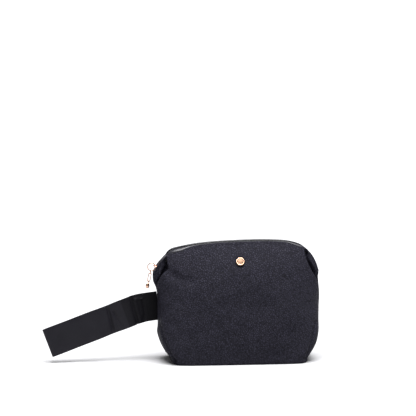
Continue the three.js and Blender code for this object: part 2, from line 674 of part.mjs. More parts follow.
// The inner stretch: two plies that part between the root and the crease.
const innerStart = new THREE.Vector2(STRAP_HINGE_X - STRAP_CLEAR, 0);
innerStart.y = rootCentre(innerStart.x);
const innerEnd = foldCentre.clone().addScaledVector(strapAlong, -STRAP_CLEAR);
const toBend = innerStart.distanceTo(STRAP_BEND);
const innerLength = toBend + STRAP_BEND.distanceTo(innerEnd);
function halfGapAt(fromPinch) {
  const opened = smoothstep(0, STRAP_OPENING, fromPinch);
  return THREE.MathUtils.lerp(STRAP_PINCHED, STRAP_HALF_GAP, opened);
}
const TURN_OVER = 1.6; // the band turns to its slope over this many lengths to the bend
function plyPoint(along, across) {
  const centre = along < toBend
    ? innerStart.clone().lerp(STRAP_BEND, along / toBend)
    : STRAP_BEND.clone().addScaledVector(strapAlong, along - toBend);
  const turned = smoothstep(0, TURN_OVER, along / toBend) * STRAP_SLOPE;
  centre.x -= Math.sin(turned) * across;
  centre.y += Math.cos(turned) * across;
  const gap = halfGapAt(Math.min(along, innerLength - along));
  return new THREE.Vector3(centre.x, -(gap + STRAP_PLY), centre.y);
}
const plyStations = evenly(0, innerLength, 14).reverse();
const frontPly = sheet(plyPoint, plyStations, [-halfStrap, halfStrap], 0, STRAP_PLY);
add("strap_front_ply", frontPly, satin);
add("strap_back_ply", mirrored(frontPly), satin);

// The outer stretch turns back on itself at the folded end.
function hairpinOutline() {
  const start = STRAP_FOLD_AT + STRAP_CLEAR;
  const turn = STRAP_OUTER_LENGTH - plyOuter;
  const shape = new THREE.Shape();
  const partings = evenly(0, STRAP_OPENING, 4);
  partings.forEach((d) => shape[d ? "lineTo" : "moveTo"](start + d, -halfGapAt(d) - STRAP_PLY));
  shape.lineTo(turn, -plyOuter);
  shape.absarc(turn, 0, plyOuter, -Math.PI / 2, Math.PI / 2, false);
  partings.slice().reverse().forEach((d) => shape.lineTo(start + d, halfGapAt(d) + STRAP_PLY));
  partings.forEach((d) => shape.lineTo(start + d, halfGapAt(d)));
  shape.absarc(turn, 0, STRAP_HALF_GAP, Math.PI / 2, -Math.PI / 2, true);
  partings.slice().reverse().forEach((d) => shape.lineTo(start + d, -halfGapAt(d)));
  return shape;
}
const hairpin = new THREE.ExtrudeGeometry(hairpinOutline(),
  { depth: STRAP_WIDTH, bevelEnabled: false, curveSegments: 6 }).translate(0, 0, -halfStrap);
const loopEnd = add("strap_loop_end", hairpin, satin);
loopEnd.position.set(STRAP_BEND.x, 0, STRAP_BEND.y);
loopEnd.setRotationFromMatrix(new THREE.Matrix4().makeBasis(
  new THREE.Vector3(strapAlong.x, 0, strapAlong.y),
  new THREE.Vector3(0, -1, 0),
  new THREE.Vector3(strapAcross.x, 0, strapAcross.y),
));

export default bag;
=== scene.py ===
# The makeup bag's finished look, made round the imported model: soft pebbled leather walls,
# zip, rose gold puller and stud, and a folded satin wrist strap.
import json
import math

import bpy
import numpy as np
from mathutils import Matrix, Vector, noise

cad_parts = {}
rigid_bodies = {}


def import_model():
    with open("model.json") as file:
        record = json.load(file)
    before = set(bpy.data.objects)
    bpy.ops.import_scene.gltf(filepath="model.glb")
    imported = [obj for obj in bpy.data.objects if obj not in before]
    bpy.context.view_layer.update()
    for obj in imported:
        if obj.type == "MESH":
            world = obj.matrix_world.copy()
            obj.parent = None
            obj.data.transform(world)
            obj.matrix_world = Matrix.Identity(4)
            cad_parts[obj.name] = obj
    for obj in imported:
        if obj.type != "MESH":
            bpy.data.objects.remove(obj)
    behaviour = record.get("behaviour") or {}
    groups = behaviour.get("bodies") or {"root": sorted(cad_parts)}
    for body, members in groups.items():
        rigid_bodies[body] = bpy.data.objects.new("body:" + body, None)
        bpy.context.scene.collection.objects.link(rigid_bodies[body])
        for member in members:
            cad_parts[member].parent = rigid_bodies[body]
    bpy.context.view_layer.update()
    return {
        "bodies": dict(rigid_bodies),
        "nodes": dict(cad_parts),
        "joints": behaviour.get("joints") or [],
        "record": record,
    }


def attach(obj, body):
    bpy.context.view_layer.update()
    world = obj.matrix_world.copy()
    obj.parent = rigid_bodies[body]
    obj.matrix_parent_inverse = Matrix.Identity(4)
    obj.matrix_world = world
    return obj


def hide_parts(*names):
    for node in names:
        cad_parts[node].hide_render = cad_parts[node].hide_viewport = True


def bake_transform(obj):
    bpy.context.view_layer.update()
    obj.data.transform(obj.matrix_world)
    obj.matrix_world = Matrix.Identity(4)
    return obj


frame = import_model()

MM = 0.001  # patterns are drawn in millimetres, and the scene is in metres


# ---- Camera, floor and light ------------------------------------------------------------
VIEW_TURN, VIEW_RISE = math.radians(-6), math.radians(7)
AIM = Vector((-0.0311, 0, 0.1602))
CAMERA_AWAY = 3.0
LENS, SENSOR_WIDTH = 249.6, 36
SKY_STRENGTH = 0.2
FLOOR_SIZE = 60


def away(turn, rise):
    """Unit vector from the bag towards a place at that turn and rise."""
    return Vector((math.sin(turn) * math.cos(rise), -math.cos(turn) * math.cos(rise),
                   math.sin(rise)))


def pointed(obj, back):
    obj.rotation_mode = "QUATERNION"
    obj.rotation_quaternion = (-back).to_track_quat("-Z", "Y")


def set_camera():
    back = away(VIEW_TURN, VIEW_RISE)
    bpy.ops.object.camera_add(location=AIM + back * CAMERA_AWAY)
    camera = bpy.context.object
    pointed(camera, back)
    camera.data.lens, camera.data.sensor_width = LENS, SENSOR_WIDTH
    bpy.context.scene.camera = camera


def broad_light(name, turn, rise, spread, strength):
    """Even light from a wide part of the studio ceiling, the same over the whole floor."""
    back = away(math.radians(turn), math.radians(rise))
    bpy.ops.object.light_add(type="SUN", location=back * 2)
    light = bpy.context.object
    light.name = light.data.name = name
    pointed(light, back)
    light.data.angle, light.data.energy = math.radians(spread), strength


# ---- Finishes -----------------------------------------------------------------------------
def srgb(hexed):
    """Linear colour of a #rrggbb value."""
    parts = [int(hexed[i:i + 2], 16) / 255 for i in (1, 3, 5)]
    return tuple(c / 12.92 if c <= 0.04045 else ((c + 0.055) / 1.055) ** 2.4
                 for c in parts) + (1.0,)


def node(tree, kind, inputs=None, **settings):
    """A new node with its settings, and its inputs given as values or as sockets to link."""
    made = tree.nodes.new("ShaderNode" + kind)
    for name, value in settings.items():
        setattr(made, name, value)
    for name, value in (inputs or {}).items():
        if isinstance(value, bpy.types.NodeSocket):
            tree.links.new(value, made.inputs[name])
        else:
            made.inputs[name].default_value = value
    return made


def started(name):
    material = bpy.data.materials.new(name)
    material.use_nodes = True
    material.node_tree.nodes.clear()
    return material, material.node_tree


def ended(tree, surface):
    out = node(tree, "OutputMaterial")
    tree.links.new(surface.outputs[0], out.inputs["Surface"])


def ramp(tree, value, low, high, dark=0.0, bright=1.0):
    return node(tree, "MapRange", {"Value": value, "From Min": low, "From Max": high,
                                   "To Min": dark, "To Max": bright}).outputs["Result"]


def tinted(tree, share, one, other):
    mixed = node(tree, "Mix", {"Factor": share}, data_type="RGBA")
    mixed.inputs[6].default_value = srgb(one)
    mixed.inputs[7].default_value = srgb(other)
    return mixed.outputs[2]


PEBBLE_SCALE = 520  # cells to a metre


def pebbled_leather():
    # Drum-dyed cowhide, coated and embossed with a fine pebble grain: each pebble is a low
    # satin dome about 1.9 mm across with a duller, darker valley round it.
    material, tree = started("pebbled_leather_embossed")
    place = node(tree, "TexCoord").outputs["Object"]
    drift = node(tree, "TexNoise", {"Vector": place, "Scale": 260, "Detail": 2}).outputs["Color"]
    bent = node(tree, "Mix", {"Factor": 0.0016}, data_type="RGBA", blend_type="ADD")
    tree.links.new(place, bent.inputs[6])
    tree.links.new(drift, bent.inputs[7])
    pebbles = node(tree, "TexVoronoi", {"Vector": bent.outputs[2], "Scale": PEBBLE_SCALE},
                   feature="DISTANCE_TO_EDGE").outputs["Distance"]
    domes = node(tree, "TexVoronoi", {"Vector": bent.outputs[2], "Scale": PEBBLE_SCALE},
                 feature="F1").outputs["Color"]
    dome = ramp(tree, pebbles, 0.0, 0.26)
    pores = node(tree, "TexNoise", {"Vector": place, "Scale": 3200, "Detail": 3}).outputs["Fac"]
    clouds = node(tree, "TexNoise", {"Vector": place, "Scale": 34, "Detail": 3}).outputs["Fac"]
    tone = node(tree, "SeparateColor", {"Color": domes}).outputs["Red"]
    deep = tinted(tree, dome, "#0d0c12", "#23222c")
    high = tinted(tree, dome, "#14131a", "#2e2d39")
    colour = node(tree, "Mix", {"Factor": ramp(tree, tone, 0, 1, 0.25, 0.75)}, data_type="RGBA")
    tree.links.new(deep, colour.inputs[6])
    tree.links.new(high, colour.inputs[7])
    rough = node(tree, "Math", {0: ramp(tree, dome, 0, 1, 0.74, 0.58),
                                1: ramp(tree, clouds, 0.3, 0.7, -0.05, 0.05)}).outputs[0]
    grain = node(tree, "Bump", {"Height": dome, "Strength": 1.0, "Distance": 0.0004})
    fine = node(tree, "Bump", {"Height": pores, "Strength": 0.35, "Distance": 0.00006,
                               "Normal": grain.outputs[0]})
    ended(tree, node(tree, "BsdfPrincipled", {
        "Base Color": colour.outputs[2], "Roughness": rough, "Normal": fine.outputs[0],
        "IOR": 1.5, "Specular IOR Level": 0.11}))
    return material


def pressed_edge():
    # The same coated hide where it is turned over and ironed: the pebbles are pressed
    # nearly flat, so it is smoother and catches more light.
    material, tree = started("leather_edge_pressed")
    place = node(tree, "TexCoord").outputs["Object"]
    pebbles = node(tree, "TexVoronoi", {"Vector": place, "Scale": PEBBLE_SCALE},
                   feature="DISTANCE_TO_EDGE").outputs["Distance"]
    dome = ramp(tree, pebbles, 0.0, 0.3)
    wear = node(tree, "TexNoise", {"Vector": place, "Scale": 120, "Detail": 4}).outputs["Fac"]
    bump = node(tree, "Bump", {"Height": dome, "Strength": 0.4, "Distance": 0.0001})
    ended(tree, node(tree, "BsdfPrincipled", {
        "Base Color": tinted(tree, ramp(tree, wear, 0.35, 0.65), "#1a1920", "#282730"),
        "Roughness": ramp(tree, wear, 0.3, 0.7, 0.36, 0.46), "Normal": bump.outputs[0],
        "IOR": 1.5, "Specular IOR Level": 0.5}))
    return material


def satin_webbing():
    # Polyester satin band, woven and calendered: long floats give it a soft lengthways
    # gleam. Its 0.3 mm picks are drawn 0.8 mm apart so that they show.
    material, tree = started("satin_webbing_woven")
    cloth = node(tree, "UVMap", uv_map="weave").outputs["UV"]
    picks = node(tree, "TexWave", {"Vector": cloth, "Scale": 390, "Distortion": 0.6,
                                   "Detail": 2, "Detail Scale": 1.5},
                 bands_direction="X").outputs["Fac"]
    ends = node(tree, "TexWave", {"Vector": cloth, "Scale": 560, "Distortion": 0.4,
                                  "Detail": 1}, bands_direction="Y").outputs["Fac"]
    weave = node(tree, "Math", {0: picks, 1: ends}, operation="MULTIPLY").outputs[0]
    clouds = node(tree, "TexNoise", {"Vector": cloth, "Scale": 60, "Detail": 3}).outputs["Fac"]
    run = node(tree, "SeparateXYZ", {"Vector": cloth}).outputs["X"]
    body = tinted(tree, weave, "#0f0e14", "#18171f")
    worn = tinted(tree, weave, "#131218", "#1e1d25")
    colour = node(tree, "Mix", {"Factor": ramp(tree, clouds, 0.35, 0.65)}, data_type="RGBA")
    tree.links.new(body, colour.inputs[6])
    tree.links.new(worn, colour.inputs[7])
    # Painted shade: over the first 5 to 60 mm of the weave's run, which starts at the seam, the
    # colour goes near black for the bag's shade on the band's root.
    root_painted_shade = node(tree, "Mix", {"Factor": ramp(tree, run, 0.005, 0.06)}, data_type="RGBA")
    root_painted_shade.inputs[6].default_value = srgb("#09090b")
    tree.links.new(colour.outputs[2], root_painted_shade.inputs[7])
    bump = node(tree, "Bump", {"Height": weave, "Strength": 0.4, "Distance": 0.00008})
    ended(tree, node(tree, "BsdfPrincipled", {
        "Base Color": root_painted_shade.outputs[2], "Normal": bump.outputs[0], "IOR": 1.5,
        "Roughness": ramp(tree, clouds, 0.3, 0.7, 0.5, 0.6), "Anisotropic": 0.3,
        # Painted shade too: the specular level falls from 0.2 to 0.04 towards the seam.
        "Specular IOR Level": ramp(tree, run, 0.002, 0.05, 0.04, 0.2)}))
    return material


def zip_tape():
    # Woven polyester zip tape: a dull herringbone with 0.9 mm ribs.
    material, tree = started("zip_tape_woven")
    place = node(tree, "TexCoord").outputs["Object"]
    slant = node(tree, "Mapping", {"Vector": place, "Rotation": (0, 0.78, 0)}).outputs[0]
    ribs = node(tree, "TexWave", {"Vector": slant, "Scale": 350, "Distortion": 0.5},
                bands_direction="X").outputs["Fac"]
    threads = node(tree, "TexNoise", {"Vector": place, "Scale": 1800, "Detail": 2}).outputs["Fac"]
    bump = node(tree, "Bump", {"Height": ribs, "Strength": 0.5, "Distance": 0.00012})
    ended(tree, node(tree, "BsdfPrincipled", {
        "Base Color": tinted(tree, ribs, "#101013", "#232327"), "Normal": bump.outputs[0],
        "Roughness": ramp(tree, threads, 0.3, 0.7, 0.78, 0.92), "IOR": 1.5,
        "Sheen Weight": 0.15}))
    return material


def zip_coil():
    # Nylon monofilament, coiled and heat set: smooth, with a waxy highlight.
    material, tree = started("zip_coil_nylon_coiled")
    place = node(tree, "TexCoord").outputs["Object"]
    marks = node(tree, "TexNoise", {"Vector": place, "Scale": 900, "Detail": 3}).outputs["Fac"]
    bump = node(tree, "Bump", {"Height": marks, "Strength": 0.2, "Distance": 0.00005})
    ended(tree, node(tree, "BsdfPrincipled", {
        "Base Color": tinted(tree, marks, "#141417", "#242429"), "Normal": bump.outputs[0],
        "Roughness": ramp(tree, marks, 0.3, 0.7, 0.32, 0.48), "IOR": 1.53}))
    return material


def rose_gold():
    # Zinc casting, polished and plated in rose gold: a warm pink mirror with hair-fine
    # handling marks.
    material, tree = started("rose_gold_polished_plate")
    place = node(tree, "TexCoord").outputs["Object"]
    long_marks = node(tree, "Mapping", {"Vector": place, "Scale": (1, 1, 9)}).outputs[0]
    marks = node(tree, "TexNoise", {"Vector": long_marks, "Scale": 700, "Detail": 4}).outputs["Fac"]
    stains = node(tree, "TexNoise", {"Vector": place, "Scale": 240, "Detail": 2}).outputs["Fac"]
    bump = node(tree, "Bump", {"Height": marks, "Strength": 0.04, "Distance": 0.00002})
    ended(tree, node(tree, "BsdfPrincipled", {
        "Base Color": tinted(tree, ramp(tree, stains, 0.3, 0.7), "#c99a80", "#e2bda6"),
        "Metallic": 1.0, "Roughness": ramp(tree, marks, 0.3, 0.7, 0.15, 0.22),
        "Normal": bump.outputs[0]}))
    return material


def painted_reflection_gold():
    # The same plate, satin brushed for a soft reflection. Its darker colour is painted: it stands
    # in for a dark reflection.
    material, tree = started("rose_gold_brushed_painted_reflection")
    place = node(tree, "TexCoord").outputs["Object"]
    long_marks = node(tree, "Mapping", {"Vector": place, "Scale": (1, 9, 9)}).outputs[0]
    marks = node(tree, "TexNoise", {"Vector": long_marks, "Scale": 500, "Detail": 4}).outputs["Fac"]
    bump = node(tree, "Bump", {"Height": marks, "Strength": 0.1, "Distance": 0.00003})
    ended(tree, node(tree, "BsdfPrincipled", {
        # Painted reflection: these darker golds stand in for the dark reflection in the stud's
        # middle.
        "Base Color": tinted(tree, ramp(tree, marks, 0.3, 0.7), "#7d6250", "#917560"),
        "Metallic": 1.0, "Roughness": ramp(tree, marks, 0.3, 0.7, 0.5, 0.62),
        "Normal": bump.outputs[0]}))
    return material


def steel():
    # Mild steel, stamped and tumbled: even, dull and grey.
    material, tree = started("steel_stamped")
    place = node(tree, "TexCoord").outputs["Object"]
    marks = node(tree, "TexNoise", {"Vector": place, "Scale": 1400, "Detail": 3}).outputs["Fac"]
    bump = node(tree, "Bump", {"Height": marks, "Strength": 0.2, "Distance": 0.00004})
    ended(tree, node(tree, "BsdfPrincipled", {
        "Base Color": tinted(tree, marks, "#77767a", "#96959a"), "Metallic": 1.0,
        "Roughness": ramp(tree, marks, 0.3, 0.7, 0.35, 0.5), "Normal": bump.outputs[0]}))
    return material


def lining_twill():
    # Polyester lining, woven as a fine twill: slanting ribs 0.9 mm apart and a faint sheen.
    material, tree = started("lining_twill_woven")
    place = node(tree, "TexCoord").outputs["Object"]
    slant = node(tree, "Mapping", {"Vector": place, "Rotation": (0.5, 0.9, 0.4)}).outputs[0]
    ribs = node(tree, "TexWave", {"Vector": slant, "Scale": 350, "Distortion": 0.8,
                                  "Detail": 2}, bands_direction="DIAGONAL").outputs["Fac"]
    folds = node(tree, "TexNoise", {"Vector": place, "Scale": 45, "Detail": 4}).outputs["Fac"]
    soft = node(tree, "Bump", {"Height": folds, "Strength": 0.5, "Distance": 0.0012})
    bump = node(tree, "Bump", {"Height": ribs, "Strength": 0.4, "Distance": 0.0001,
                               "Normal": soft.outputs[0]})
    ended(tree, node(tree, "BsdfPrincipled", {
        "Base Color": tinted(tree, ribs, "#26252b", "#3c3b43"), "Normal": bump.outputs[0],
        "Roughness": ramp(tree, folds, 0.3, 0.7, 0.6, 0.75), "IOR": 1.5,
        "Sheen Weight": 0.2, "Sheen Roughness": 0.35}))
    return material


def grey_board():
    # Pressed paper board that stiffens the base: matt, with short fibres.
    material, tree = started("board_pressed_paper")
    place = node(tree, "TexCoord").outputs["Object"]
    fibres = node(tree, "TexNoise", {"Vector": place, "Scale": 900, "Detail": 5}).outputs["Fac"]
    bump = node(tree, "Bump", {"Height": fibres, "Strength": 0.4, "Distance": 0.0001})
    ended(tree, node(tree, "BsdfPrincipled", {
        "Base Color": tinted(tree, fibres, "#6f6a62", "#8f8a80"), "Roughness": 0.9,
        "Normal": bump.outputs[0]}))
    return material


def pale_floor():
    # Matt painted sweep, near white, with a faint unevenness from the roller.
    material, tree = started("floor_matt_paint")
    place = node(tree, "TexCoord").outputs["Object"]
    uneven = node(tree, "TexNoise", {"Vector": place, "Scale": 6, "Detail": 3}).outputs["Fac"]
    ended(tree, node(tree, "BsdfPrincipled", {
        "Base Color": tinted(tree, uneven, "#bfbfc1", "#c6c6c8"), "Roughness": 0.9}))
    return material


# ---- Shape of the bag, in millimetres ---------------------------------------------------
LEATHER = 1.3
FOLD_Z = 86
SIDE_HALF_WIDTH, BASE_HALF_WIDTH, SIDE_RISE = 84.3, 71, 34
EDGE_POINTS = [
    (-89.2, 88), (-88.2, 94), (-84.2, 102), (-77.5, 109.3), (-70.5, 116.8), (-58, 120.4),
    (-30, 124), (5, 125.6), (35, 125.6), (56, 123.8), (67.5, 119.8), (76, 112.8),
    (81.4, 104), (84.3, 94), (84, 88),
]
CORNER = 0.168  # share of the top edge's length that hangs down at each end
EDGE_Y, EDGE_CLOSE = 6.5, 0.03
SEAM_Y = 0.15  # the walls' clearance from the seam's middle
CROWN = 4  # outward swell of the walls above the fold
BASE_ROLL, BASE_TUCK = 2.4, 1.6  # height and depth of the walls' turn at the base
SIDE_SWELL, SWELL_Z = 1.5, 67  # the right side seam bulges a little at this height
TAIL_FLARE = 4.6  # the left seam leans out to the zip's end
SLIDER_ROOM = 6.4  # the ears leave the slider this much on each side
TAPE_ROOM = 2.8  # and keep this far from the bag's middle where the slider isn't


def ease(low, high, x):
    t = np.clip((x - low) / (high - low), 0, 1)
    return t * t * (3 - 2 * t)


def along_line(points, shares):
    """Points at these shares of a line's length."""
    steps = np.linalg.norm(np.diff(points, axis=0), axis=1)
    run = np.concatenate([[0], np.cumsum(steps)])
    at = np.clip(shares, 0, 1) * run[-1]
    return np.stack([np.interp(at, run, points[:, k]) for k in range(points.shape[1])], 1)


def flowing(knots, steps=60):
    """A smooth line through the knots, even where they lie unevenly."""
    p = np.array(knots, float)
    p = np.vstack([2 * p[0] - p[1], p, 2 * p[-1] - p[-2]])
    t = np.linspace(0, 1, steps, endpoint=False)[:, None]
    line = []
    for p0, p1, p2, p3 in zip(p, p[1:], p[2:], p[3:]):
        d0, d1, d2 = [math.sqrt(np.linalg.norm(b - a)) for a, b in ((p0, p1), (p1, p2), (p2, p3))]
        out = ((p1 - p0) / d0 - (p2 - p0) / (d0 + d1) + (p2 - p1) / d1) * d1
        into = ((p2 - p1) / d1 - (p3 - p1) / (d1 + d2) + (p3 - p2) / d2) * d1
        line.append(p1 + out * t + (-3 * p1 + 3 * p2 - 2 * out - into) * t ** 2
                    + (2 * p1 - 2 * p2 + out + into) * t ** 3)
    return np.vstack(line + [p[-2][None]])


EDGE_LINE = flowing([(x, 0, z) for x, z in EDGE_POINTS])
EDGE_LENGTH = np.linalg.norm(np.diff(EDGE_LINE, axis=0), axis=1).sum()


def from_end(shares):
    return np.minimum(shares, 1 - shares)


def tailness(shares):
    return 1 - ease(CORNER * 0.75, CORNER * 1.15, from_end(shares))


def top_edge(shares):
    p = along_line(EDGE_LINE, shares)
    p[:, 1] = -(0.3 + (EDGE_Y - 0.3) * ease(0, EDGE_CLOSE, from_end(shares)))
    return p


def chain_frame(shares):
    """The zip chain's top middle, its direction, and the way out of the bag."""
    step = 1e-3
    run = along_line(EDGE_LINE, shares + step) - along_line(EDGE_LINE, shares - step)
    run /= np.linalg.norm(run, axis=1)[:, None]
    out = np.stack([-run[:, 2], 0 * run[:, 0], run[:, 0]], 1)
    rise = 0.4 - 3.0 * tailness(shares)
    return along_line(EDGE_LINE, shares) + out * rise[:, None], run, out


def section(z, shares):
    """Front half of the plan section at height z, from the left seam to the right one."""
    half_w = SIDE_HALF_WIDTH \
        - (SIDE_HALF_WIDTH - BASE_HALF_WIDTH) * max(0, 1 - z / SIDE_RISE) ** 2.2
    half_d = 35 + 0.13 * z - 0.0017 * z * z
    power = 2 / (2.6 + 4.4 * max(0, 1 - z / FOLD_Z) ** 2.5)
    angle = np.linspace(math.pi, 0, 961)
    c, s = np.cos(angle), np.abs(np.sin(angle))
    x = half_w * np.sign(c) * np.abs(c) ** power
    y = -half_d * s ** power - SEAM_Y
    return along_line(np.stack([x, y, np.full_like(x, z)], 1), shares)


ACROSS, WALL_ROWS, TOP_ROWS = 260, 100, 44
SHARES = np.linspace(0, 1, ACROSS + 1)
LEVELS = np.concatenate([np.linspace(0, 1, WALL_ROWS + 1), np.linspace(1, 2, TOP_ROWS + 1)[1:]])


def plain_wall():
    """The front wall before its creases: rows up it, columns from the left seam."""
    fold, edge = section(FOLD_Z, SHARES), top_edge(SHARES)
    rows = []
    for level in LEVELS:
        if level <= 1:
            rows.append(section(level * FOLD_Z, SHARES))
            continue
        w = level - 1
        row = fold + (edge - fold) * w
        swell = 0.7 * CROWN * 4 * w * (1 - w) * (1 - tailness(SHARES))
        row[:, 1] -= swell
        row[:, 2] += swell
        rows.append(row)
    wall = np.array(rows)
    for _ in range(60):  # the fold is a soft bend in real leather
        wall[1:-1] = (wall[:-2] + 2 * wall[1:-1] + wall[2:]) / 4
    low = np.clip(1 - wall[:, :, 2] / BASE_ROLL, 0, 1)  # turned under at the base
    tuck = BASE_TUCK * (1 - np.sqrt(1 - low ** 2))
    wall[:, :, 0] -= tuck * np.sign(wall[:, :, 0]) * ease(0, 30, np.abs(wall[:, :, 0]))
    wall[:, :, 1] += tuck * ease(0, 12, -wall[:, :, 1])
    wall[:, :, 0] += SIDE_SWELL * np.exp(-((wall[:, :, 2] - SWELL_Z) / 15) ** 2) \
        * ease(0.8, 1.0, SHARES)[None, :]
    flare = TAIL_FLARE * ease(72, 87, wall[:, :, 2]) * (1 - ease(0, 0.06, SHARES))[None, :]
    wall[:, :, 0] -= flare * np.clip(2 - LEVELS, 0, 1)[:, None]
    return wall


SEEN_TURN = (0.9945, 0.1045)  # cosine and sine of the turn that the creases are drawn at
SEEN_RISE = (0.9925, 0.122)  # and of the rise
FRONT_DEPTH = 35


def seen(x, y, z):
    """Across and up, in millimetres, of a place as it is seen from the front."""
    return (SEEN_TURN[0] * x - SEEN_TURN[1] * y,
            SEEN_RISE[0] * z + SEEN_RISE[1] * (y + FRONT_DEPTH))


def normals_of(wall):
    across, up = np.gradient(wall, axis=1), np.gradient(wall, axis=0)
    n = np.cross(across, up)
    return n / np.maximum(np.linalg.norm(n, axis=2), 1e-9)[:, :, None]


def off_line(knots, u, v):
    """Distance from a drawn line, and its side: -1 left of a line drawn downwards, 1 right."""
    line = flowing(knots, 8)
    best, side = np.full(u.shape, 1e9), np.zeros(u.shape)
    for (x0, y0), (x1, y1) in zip(line, line[1:]):
        dx, dy = x1 - x0, y1 - y0
        t = np.clip(((u - x0) * dx + (v - y0) * dy) / (dx * dx + dy * dy), 0, 1)
        far = np.hypot(u - x0 - t * dx, v - y0 - t * dy)
        nearer = far < best
        best = np.where(nearer, far, best)
        side = np.where(nearer, np.sign(dx * (v - y0) - dy * (u - x0)), side)
    return best, side


# Places as they are seen from the front: across and up, in millimetres.
STUD_SEEN_AT = (2.4, 107)
LEFT_SHOULDER = [(-72.4, 121), (-72.8, 113), (-71.9, 106), (-71.2, 101), (-73.2, 98.2),
                 (-76.6, 95.2), (-80.9, 89), (-83.0, 83), (-84.6, 74)]
LEFT_VALLEY = [(-70, 98), (-64, 92.5), (-57, 89.5), (-49, 87.5)]
LEFT_PUFF = [(-54, 83), (-57, 72), (-58, 58)]
LEFT_PLEAT = [(-82.6, 48), (-81.3, 38), (-76, 25), (-69, 12.5), (-62.5, 1)]
RIGHT_SHOULDER = [(68.2, 123), (69.0, 118), (71.0, 107), (76.2, 96.7), (83.0, 84.6), (84.6, 76)]
RIGHT_PLEAT = [(81.6, 44), (80.2, 34), (76.6, 20), (70.6, 3)]


def creased_wall(seed, strength):
    """The wall with its ears, shoulders, pleats and soft unevenness pressed in."""
    wall = plain_wall()
    out = normals_of(wall)
    x, y, z = (wall[:, :, k] for k in range(3))
    u, v = seen(x, y, z)
    level = LEVELS[:, None] + 0 * u
    share = SHARES[None, :] + 0 * u
    inward = -out + np.array([0, 1.6, 0])
    inward /= np.linalg.norm(inward, axis=2)[:, :, None]
    rim = np.linalg.norm(wall - wall[-1:], axis=2)
    short = np.where(level > 1, ease(0.6, 4.5, rim), 1)  # the zip's stitching holds the edge
    seam = ease(0.004, 0.05, from_end(share))
    lift, sink = np.zeros(u.shape), np.zeros(u.shape)
    for line, ear_side, deep, lip, back, far_back in (
            (LEFT_SHOULDER, -1, 11.0, 1.9, 0.55, 12),
            (RIGHT_SHOULDER, 1, 8.5, 1.3, 0.95, 5.5)):
        far, side = off_line(line, u, v)
        ear = np.where(side == ear_side, far, 0)
        body = np.where(side == ear_side, 0, far)
        here = ease(38, 58, -u if ear_side < 0 else u)
        upper = ease(74, 92, v)
        rising = 1 - back * ease(far_back / 3, far_back, ear)
        sink += here * deep * strength * ease(0, 2.6, ear) * rising * short * seam * upper
        lift += here * lip * np.exp(-(body / 4.2) ** 2) * np.exp(-(ear / 1.3) ** 2) \
            * short * seam * ease(70, 84, v)
    for line, deep, wide in ((LEFT_VALLEY, 2.3 * strength, 5.2), (LEFT_PUFF, -0.9, 8.0)):
        lift -= deep * np.exp(-(off_line(line, u, v)[0] / wide) ** 2)
    for line, outer_side, deep in ((LEFT_PLEAT, -1, 8.0), (RIGHT_PLEAT, 1, 3.0)):
        far, side = off_line(line, u, v)
        outer = np.where(side == outer_side, far, 0)
        low = 1 - ease(4, 34, v)
        here = 1 - ease(40, 52, v)
        lift -= here * ease(0.3, 3.6, z) * (
            2.6 * np.exp(-(far / 1.15) ** 2)
            + deep * strength * low * ease(0, 1.5, outer) * np.exp(-(outer / 6) ** 2))
    waves = np.zeros(u.shape)
    draw = np.random.default_rng(seed)
    for wave_length, height in ((62, 0.5), (41, 0.35), (27, 0.2), (17, 0.1)):
        for _ in range(3):
            turn, start = draw.uniform(0, math.pi), draw.uniform(0, 2 * math.pi)
            waves += height * np.sin(2 * math.pi * (u * math.cos(turn) + v * math.sin(turn))
                                     / wave_length + start)
    ridge = 1 - tailness(share)
    lift += ridge * (0.5 * np.exp(-((rim - 1.9) / 1.5) ** 2)
                     - 0.4 * np.exp(-((rim - 4.4) / 0.8) ** 2))  # sewn-down edge
    stud = np.hypot(u - STUD_SEEN_AT[0], v - STUD_SEEN_AT[1]) / 9
    lift += waves * 0.6 * short * seam * ease(0, 12, z) * ease(0.6, 1.4, stud)
    lift -= 1.5 * np.exp(-(stud / 0.6) ** 4)  # drawn in by the stud
    pressed = wall + out * lift[:, :, None] + inward * sink[:, :, None]
    by_slider = ease(75, 79, -u)
    room = TAPE_ROOM + (SLIDER_ROOM - TAPE_ROOM) * (
        by_slider * (1 - ease(6, 11, rim)) + (1 - by_slider) * (1 - ease(1, 3.5, rim)))
    pressed[:, :, 1] = np.minimum(pressed[:, :, 1], np.maximum(wall[:, :, 1], -room))
    wall = pressed
    for _ in range(2):  # leather doesn't crease sharper than its own thickness
        wall[1:-1, 1:-1] = (wall[1:-1, 1:-1] * 4 + wall[:-2, 1:-1] + wall[2:, 1:-1]
                            + wall[1:-1, :-2] + wall[1:-1, 2:]) / 8
    out = normals_of(wall)
    pebble = np.array([[noise.voronoi(Vector(p) * 0.42 + Vector((seed, 0, 0)))[0][0]
                        for p in row] for row in wall])
    wall = wall + out * ((0.45 - pebble) * 0.22 * seam * short)[:, :, None]
    wall[:, :, 1] = np.minimum(wall[:, :, 1], -SEAM_Y)
    return wall


def gape(share, z):
    """How far a place follows the mouth: none below the fold or at the zip's two ends."""
    return ease(79, 97, z) * ease(0.02, CORNER * 1.05, from_end(share))


# ---- Making pieces ----------------------------------------------------------------------
def nothing_selected():
    for obj in list(bpy.context.selected_objects):
        obj.select_set(False)


def only(obj):
    nothing_selected()
    obj.select_set(True)
    bpy.context.view_layer.objects.active = obj


def named(name):
    obj = bpy.context.object
    obj.name = obj.data.name = name
    return obj


def modified(obj, kind, **settings):
    """Adds a modifier and applies it at once."""
    only(obj)
    made = obj.modifiers.new(kind.lower(), kind)
    for name, value in settings.items():
        setattr(made, name, value)
    bpy.ops.object.modifier_apply(modifier=made.name)
    return obj


def finished(obj, material, angle=40):
    only(obj)
    obj.data.materials.clear()
    obj.data.materials.append(material)
    bpy.ops.object.shade_smooth_by_angle(angle=math.radians(angle))
    return obj


def coords(obj):
    co = np.empty(len(obj.data.vertices) * 3, np.float32)
    obj.data.vertices.foreach_get("co", co)
    return co.reshape(-1, 3).astype(float)


def set_coords(obj, co):
    obj.data.vertices.foreach_set("co", np.asarray(co, np.float32).ravel())
    obj.data.update()


